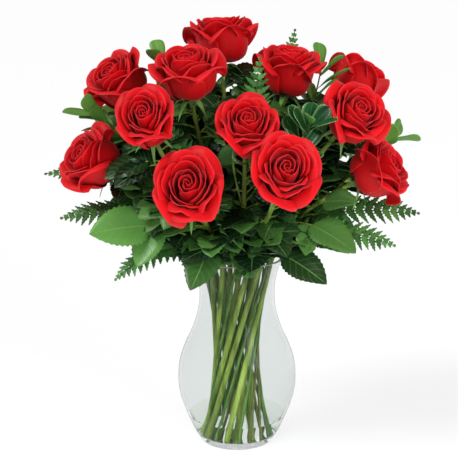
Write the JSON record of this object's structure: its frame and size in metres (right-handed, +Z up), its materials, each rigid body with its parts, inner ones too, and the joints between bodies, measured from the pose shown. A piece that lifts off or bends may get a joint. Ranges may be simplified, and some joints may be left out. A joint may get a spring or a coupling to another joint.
{
  "type": "roses in a vase",
  "caption": "Round bouquet of long-stemmed red roses with fern, pittosporum and rose leaves, its stems crossing in water inside a waisted clear glass vase with a flared rim.",
  "frame": {"origin": "centre of the flat underside of the vase", "axes": "+Z up along the vase's axis, +X to the right seen from the front, +Y away from the front, where the lower roses lean out"},
  "size_m": [0.4636, 0.351, 0.5306],
  "materials": {
    "glass": "polished",
    "water": "polished",
    "petal": "satin",
    "rose_green": "satin",
    "pittosporum_green": "satin",
    "fern_green": "satin"
  },
  "bodies": {
    "root": {"vase": "glass", "water": "water", "rose_01": "petal", "rose_02": "petal", "rose_03": "petal", "rose_04": "petal", "rose_05": "petal", "rose_06": "petal", "rose_07": "petal", "rose_08": "petal", "rose_09": "petal", "rose_10": "petal", "rose_11": "petal", "rose_12": "petal", "rose_stem_01": "rose_green", "rose_stem_02": "rose_green", "rose_stem_03": "rose_green", "rose_stem_04": "rose_green", "rose_stem_05": "rose_green", "rose_stem_06": "rose_green", "rose_stem_07": "rose_green", "rose_stem_08": "rose_green", "rose_stem_09": "rose_green", "rose_stem_10": "rose_green", "rose_stem_11": "rose_green", "rose_stem_12": "rose_green", "pittosporum_01": "pittosporum_green", "pittosporum_02": "pittosporum_green", "pittosporum_03": "pittosporum_green", "pittosporum_04": "pittosporum_green", "pittosporum_05": "pittosporum_green", "pittosporum_06": "pittosporum_green", "pittosporum_07": "pittosporum_green", "pittosporum_08": "pittosporum_green", "fern_01": "fern_green", "fern_02": "fern_green", "fern_03": "fern_green", "fern_04": "fern_green", "fern_05": "fern_green", "fern_06": "fern_green", "fern_07": "fern_green", "fern_08": "fern_green", "fern_09": "fern_green", "fern_10": "fern_green", "fern_11": "fern_green", "fern_12": "fern_green"}
  },
  "joints": []
}
